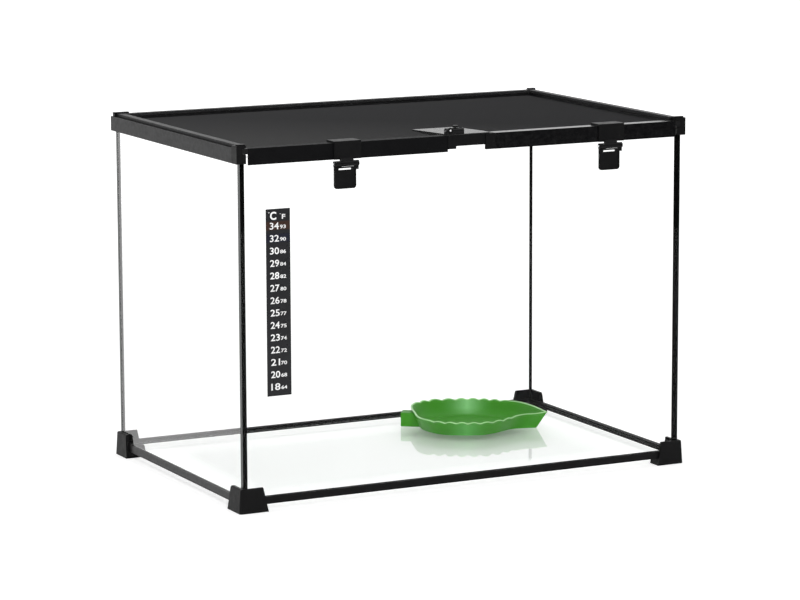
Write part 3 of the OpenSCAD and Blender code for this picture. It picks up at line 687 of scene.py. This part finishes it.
# The section's rounds: the bowl's floor into its wall, and the wall into the underside
FLOOR_RING = 22 * MM
FILLET_IN, FILLET_WIDTH, FILLET_HEIGHT = 9 * MM, 11 * MM, 8 * MM
UNDER_ROUND, UNDER_RISE = 1.4 * MM, 1.2 * MM
UNDER_RING, UNDER_INSIDE, UNDER_LIFT = 6 * MM, 8 * MM, 0.5 * MM
WALL_UP = (0.42, 0.54, 0.66, 0.78, 0.88)
WALL_DOWN = (0.88, 0.78, 0.66, 0.54, 0.42, 0.3, 0.2, 0.12)
LIP_STEPS = 6
LIP_FLATTER = 0.9

STEM_TURN = math.radians(3)
STEM_L = 6.5 * MM
STEM_W = 15 * MM
STEM_H = 15.5 * MM
STEM_BOTTOM = 0.5 * MM
STEM_COLUMNS, STEM_LEVELS = 13, 9
STEM_HALVINGS = 14
STEM_INTO_WALL = 0.45
STEM_ROUND = 0.8 * MM
STEM_SHARP = math.radians(60)
STEM_CLEAR = 2 * MM


def on_curve(points, turn):
    """The place at the share turn of the way round a closed curve through the points, sharp at the first."""
    n = len(points)
    i = int(turn * n) % n
    t = turn * n - int(turn * n)
    around = (max(i - 1, 0), i, (i + 1) % n, 0 if i == n - 1 else (i + 2) % n)
    a, b, c, d = (Vector(points[k]) for k in around)
    square, cube = 2 * a - 5 * b + 4 * c - d, 3 * b - a - 3 * c + d
    return b + (c - a) * t / 2 + square * t ** 2 / 2 + cube * t ** 3 / 2


def wall_point(turn, rise, inset):
    """A point of the wall: turn is the share of the way round, rise is 0 at the foot and 1 at the rim."""
    shape = on_curve(FOOT_POINTS, turn).lerp(on_curve(RIM_POINTS, turn), rise)
    return Vector((shape.x * (DISH_L / 2 - inset), shape.y * (DISH_W / 2 - inset), 0))


def wall_outline(rise, inset):
    return [wall_point(i / DISH_STEPS, rise, inset) for i in range(DISH_STEPS)]


def up_to_one(value):
    return max(0.0, min(1.0, value))


def scallops():
    """How deep the rim's notch is at each step round the rim, from 0 on a crest to 1 in a notch."""
    rim = wall_outline(1, 0)
    depth, travelled = [], 0.0
    for i, point in enumerate(rim):
        travelled += (point - rim[i - 1]).length if i else 0.0
        sway = SCALLOP_SWAY * math.sin(travelled / SWAY_LENGTH)
        wave = math.sin(math.pi * travelled / SCALLOP_PITCH + sway)
        crest = math.sqrt(wave * wave + CREST_SOFT) - math.sqrt(CREST_SOFT)
        from_tip = min(i, DISH_STEPS - i) / DISH_STEPS * 360
        along = up_to_one((from_tip - SCALLOP_FROM) / SCALLOP_FADE)
        along *= up_to_one((SCALLOP_TO - from_tip) / SCALLOP_FADE)
        deeper = RIGHT_SIDE_DEEPER if i > DISH_STEPS / 2 else 1.0
        depth.append((1 - crest) * along * along * (3 - 2 * along) * deeper)
    return depth


def notch_at(share):
    """The share of the rim's notches at this share of the wall's height."""
    return max(0.0, share - NOTCH_REACH) / (1 - NOTCH_REACH) * NOTCH_SHARE


def dish_profile():
    """The wall's section from the middle of the floor over the rim to the middle of the underside: rise
    from foot to rim, inset, height, and the share of the rim's notches. A rise of None is the middle."""
    h, wall, floor = DISH_H, DISH_WALL, DISH_FLOOR
    section = [(None, 0, floor, 0), (0, wall + FLOOR_RING, floor, 0), (0, wall + FILLET_IN, floor, 0)]
    for i in range(1, 6):
        a = math.radians(i * 10)
        inset = wall + FILLET_IN - FILLET_WIDTH * math.sin(a)
        section.append((0.02 * i, inset, floor + FILLET_HEIGHT * (1 - math.cos(a)), 0))
    section += [(share, wall, h * share, notch_at(share)) for share in WALL_UP]
    radius = wall / 2
    for i in range(LIP_STEPS + 1):
        a = math.pi * i / LIP_STEPS
        height = h - radius + radius * math.sin(a) * LIP_FLATTER
        section.append((1, radius + radius * math.cos(a), height, 1))
    section += [(share, 0, h * share, notch_at(share)) for share in WALL_DOWN]
    for i in range(1, 5):
        a = math.radians(i * 22.5)
        section.append((0.04, UNDER_ROUND * (1 - math.cos(a)), UNDER_RISE * (1 - math.sin(a)), 0))
    return section + [(0, UNDER_RING, 0, 0), (0, UNDER_INSIDE, UNDER_LIFT, 0), (None, 0, UNDER_LIFT, 0)]


def dish_rings(shape, section):
    """The dish's vertices, a ring or a single middle point for each row of the section."""
    depth = scallops()
    rings = []
    for rise, inset, z, share in section:
        if rise is None:
            rings.append([shape.verts.new((0, 0, z))])
            continue
        ring = []
        for i in range(DISH_STEPS):
            place = wall_point(i / DISH_STEPS, rise, inset + SCALLOP_IN * depth[i] * share)
            place.z = z - SCALLOP_DROP * depth[i] * share
            ring.append(shape.verts.new(place))
        rings.append(ring)
    return rings


def dish_bowl():
    """The bowl without its stem, round the origin. Its lip has the second material, a paler green that is a
    painted highlight.
    """
    section = dish_profile()
    shape = bmesh.new()
    rings = dish_rings(shape, section)
    lip = next(i for i, row in enumerate(section) if row[3] == 1)
    for level, (first, second) in enumerate(zip(rings, rings[1:])):
        for i in range(DISH_STEPS):
            j = (i + 1) % DISH_STEPS
            if len(first) == 1:
                face = shape.faces.new((first[0], second[i], second[j]))
            elif len(second) == 1:
                face = shape.faces.new((first[j], first[i], second[0]))
            else:
                face = shape.faces.new((first[i], second[i], second[j], first[j]))
            face.smooth = True
            if lip <= level < lip + LIP_STEPS:
                face.material_index = 1
    bmesh.ops.recalc_face_normals(shape, faces=shape.faces)
    mesh = bpy.data.meshes.new("leaf_dish")
    shape.to_mesh(mesh)
    shape.free()
    mesh.materials.append(MATERIALS["green_plastic"])
    mesh.materials.append(MATERIALS["green_rim"])
    return linked("leaf_dish", mesh)


def inside(outline, x, y):
    """Whether a point lies inside an outline: an odd number of its edges cross the way out along X."""
    crossings = 0
    for a, b in zip(outline, outline[1:] + outline[:1]):
        if (a.y > y) != (b.y > y) and x < (b.x - a.x) * (y - a.y) / (b.y - a.y) + a.x:
            crossings += 1
    return crossings % 2 == 1


def dish_stem():
    """The stem's block, whose inner end follows the middle of the bowl's wall."""
    shape = bmesh.new()
    turn = Matrix.Rotation(STEM_TURN, 3, "Z")
    outer, inner = [], []
    for k in range(STEM_LEVELS):
        z = STEM_BOTTOM + (STEM_H - STEM_BOTTOM) * k / (STEM_LEVELS - 1)
        outline = wall_outline(z / DISH_H, DISH_WALL * STEM_INTO_WALL)
        row_out, row_in = [], []
        for i in range(STEM_COLUMNS):
            y = STEM_W * (i / (STEM_COLUMNS - 1) - 0.5)
            x = -DISH_L / 2 - STEM_L
            row_out.append(shape.verts.new(turn @ Vector((x, y, z))))
            far = x + 0.5 * DISH_L
            for _ in range(STEM_HALVINGS):
                middle = (x + far) / 2
                if inside(outline, *(turn @ Vector((middle, y, 0))).xy):
                    far = middle
                else:
                    x = middle
            row_in.append(shape.verts.new(turn @ Vector((x, y, z))))
        outer.append(row_out)
        inner.append(row_in)
    for k in range(STEM_LEVELS - 1):
        for i in range(STEM_COLUMNS - 1):
            shape.faces.new((outer[k][i], outer[k][i + 1], outer[k + 1][i + 1], outer[k + 1][i]))
            shape.faces.new((inner[k][i], inner[k + 1][i], inner[k + 1][i + 1], inner[k][i + 1]))
        for i in (0, STEM_COLUMNS - 1):
            shape.faces.new((outer[k][i], outer[k + 1][i], inner[k + 1][i], inner[k][i]))
    for k in (0, STEM_LEVELS - 1):
        for i in range(STEM_COLUMNS - 1):
            shape.faces.new((outer[k][i], inner[k][i], inner[k][i + 1], outer[k][i + 1]))
    bmesh.ops.recalc_face_normals(shape, faces=shape.faces)
    sharp = [e for e in shape.edges if len(e.link_faces) == 2 and e.calc_face_angle() > STEM_SHARP
             and all(v.co.xy.length > DISH_L / 2 + STEM_CLEAR for v in e.verts)]
    bmesh.ops.bevel(shape, geom=sharp, offset=STEM_ROUND, segments=3, affect="EDGES", profile=0.6)
    mesh = bpy.data.meshes.new("stem")
    shape.to_mesh(mesh)
    shape.free()
    mesh.materials.append(MATERIALS["green_plastic"])
    return linked("stem", mesh)


def leaf_dish():
    bowl = dish_bowl()
    stem = dish_stem()
    modifier = bowl.modifiers.new("stem", "BOOLEAN")
    modifier.operation = "UNION"
    modifier.solver = "EXACT"
    modifier.object = stem
    graph = bpy.context.evaluated_depsgraph_get()
    merged = bpy.data.meshes.new_from_object(bowl.evaluated_get(graph))
    bowl.modifiers.clear()
    plain = bowl.data
    bowl.data = merged
    bpy.data.meshes.remove(plain)
    bpy.data.objects.remove(stem)
    inner_x, inner_y = lo("right_pane").x, lo("back_pane").y
    centre = Vector((inner_x - DISH_FROM_RIGHT, inner_y - DISH_FROM_BACK, lo("feeding_dish").z))
    merged.transform(Matrix.Translation(centre) @ Matrix.Rotation(DISH_TURN, 4, "Z"))
    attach(bowl, "dish")
    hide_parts("feeding_dish")


# Light and stage

HORIZON_LIGHT = 0.95
OVERHEAD_LIGHT = 0.40
# Name, place, target, side and watts of each square lamp
LAMPS = (("key", (-1.2, -2.6, 1.9), (0, 0, 0.15), 1.6, 50),
         ("top", (0.6, 0.8, 2.6), (0, 0, 0.2), 1.8, 22))

FLOOR_HALF = 6.0
FLOOR_COLOUR = 0.70
# What the seen rays find on the floor: colour and glow in the tank, at its rails, beside it and far away.
# The glow at the rails is painted light over their shadows on the floor.
INNER_FLOOR, INNER_GLOW = 1.0, 0.20
RAIL_GLOW = 0.45
OUTER_FLOOR, OUTER_GLOW = 0.62, 0.56
FAR_GLOW = 0.4
RAIL_GLOW_FROM, RAIL_GLOW_TO = -60 * MM, -5 * MM
OUTER_BLEND = 2 * MM
FAR_FROM, FAR_TO = 0.6, 3.0

FLAG_R, FLAG_H, FLAG_STEPS = 1.9, 1.3, 24
FLAG_HALF_ANGLE = math.radians(75)
FLAG_BOTTOM = 2 * MM
FLAG_COLOUR, FLAG_ROUGHNESS = (0.01, 0.01, 0.01), 0.9


def world_light():
    """A pale studio, brighter at the horizon than overhead, that the seen rays find white."""
    world = bpy.data.worlds.new("studio")
    bpy.context.scene.world = world
    world.use_nodes = True
    tree = world.node_tree
    tree.nodes.clear()
    out = tree.nodes.new("ShaderNodeOutputWorld")
    back = tree.nodes.new("ShaderNodeBackground")
    back.inputs["Color"].default_value = (1, 1, 1, 1)
    direction = tree.nodes.new("ShaderNodeTexCoord").outputs["Generated"]
    studio = ramp(tree, axis_of(tree, direction, 2), HORIZON_LIGHT, OVERHEAD_LIGHT, 0, 1)
    seen = seen_rays(tree)
    unseen = maths(tree, "MULTIPLY", studio, maths(tree, "SUBTRACT", 1, seen))
    tree.links.new(maths(tree, "ADD", unseen, seen), back.inputs["Strength"])
    tree.links.new(back.outputs[0], out.inputs["Surface"])


def area_lamp(name, place, target, side, watts):
    data = bpy.data.lights.new(name, "AREA")
    data.shape = "RECTANGLE"
    data.size = data.size_y = side
    data.energy = watts
    lamp = linked(name, data)
    lamp.location = place
    lamp.rotation_euler = (Vector(target) - Vector(place)).to_track_quat("-Z", "Y").to_euler()


def floor_material():
    """A pale matte floor. The seen rays find it brighter, above all beside the tank and far away, and along
    the rails inside the tank a painted glow lightens their shadows.
    """
    material, tree, out = new_material("floor_white")
    matte = tree.nodes.new("ShaderNodeBsdfDiffuse")
    matte.inputs["Color"].default_value = (FLOOR_COLOUR, FLOOR_COLOUR, FLOOR_COLOUR, 1)
    point = object_point(tree)
    middle_y = tank_centre_y()
    half_x, half_y = hi("bottom_rail_right").x, hi("bottom_rail_back").y - middle_y
    beyond_x = maths(tree, "SUBTRACT", distance_between(tree, axis_of(tree, point, 0), 0), half_x)
    beyond_y = maths(tree, "SUBTRACT", distance_between(tree, axis_of(tree, point, 1), middle_y), half_y)
    beyond = maths(tree, "MAXIMUM", beyond_x, beyond_y)
    beside = ramp(tree, beyond, 0, 1, -OUTER_BLEND, OUTER_BLEND)
    bright = tree.nodes.new("ShaderNodeBsdfDiffuse")
    tree.links.new(mix_colour(tree, beside, (INNER_FLOOR,) * 3, (OUTER_FLOOR,) * 3), bright.inputs["Color"])
    # Painted light: the glow rises towards the rails, where it lightens their shadows on the floor under the
    # tank.
    inner = ramp(tree, beyond, INNER_GLOW, RAIL_GLOW, RAIL_GLOW_FROM, RAIL_GLOW_TO)
    near = maths(tree, "ADD", inner, maths(tree, "MULTIPLY", beside, OUTER_GLOW - RAIL_GLOW))
    glow = maths(tree, "ADD", near, ramp(tree, beyond, 0, FAR_GLOW, FAR_FROM, FAR_TO))
    light = tree.nodes.new("ShaderNodeEmission")
    tree.links.new(glow, light.inputs["Strength"])
    glowing = tree.nodes.new("ShaderNodeAddShader")
    tree.links.new(bright.outputs[0], glowing.inputs[0])
    tree.links.new(light.outputs[0], glowing.inputs[1])
    tree.links.new(mix_shaders(tree, seen_rays(tree), matte, glowing).outputs[0], out.inputs["Surface"])
    return material


def white_floor():
    half = FLOOR_HALF
    corners = [(-half, -half, 0), (half, -half, 0), (half, half, 0), (-half, half, 0)]
    mesh_object("floor", corners, [(0, 1, 2, 3)], None, floor_material())


def black_flag():
    """A curved black card in front, which only mirror rays see: black plastic stays black towards it."""
    verts, faces = [], []
    for i in range(FLAG_STEPS + 1):
        a = FLAG_HALF_ANGLE * (2 * i / FLAG_STEPS - 1)
        x, y = FLAG_R * math.sin(a), -FLAG_R * math.cos(a)
        verts += [(x, y, FLAG_BOTTOM), (x, y, FLAG_H)]
    for i in range(FLAG_STEPS):
        faces.append((2 * i, 2 * i + 2, 2 * i + 3, 2 * i + 1))
    material, tree, out = new_material("flag_black")
    principled(tree, out, FLAG_COLOUR, FLAG_ROUGHNESS)
    flag = mesh_object("black_flag", verts, faces, None, material)
    for kind in ("camera", "diffuse", "transmission", "volume_scatter", "shadow"):
        setattr(flag, "visible_" + kind, False)


make_camera()
world_light()
white_floor()
black_flag()
for lamp in LAMPS:
    area_lamp(*lamp)
dress_nodes()
corner_plug(-1, "corner_cap_back_left")
corner_plug(1, "corner_cap_back_right")
bolt_boss()
wire_mesh()
strip_print()
tint_windows()
leaf_dish()
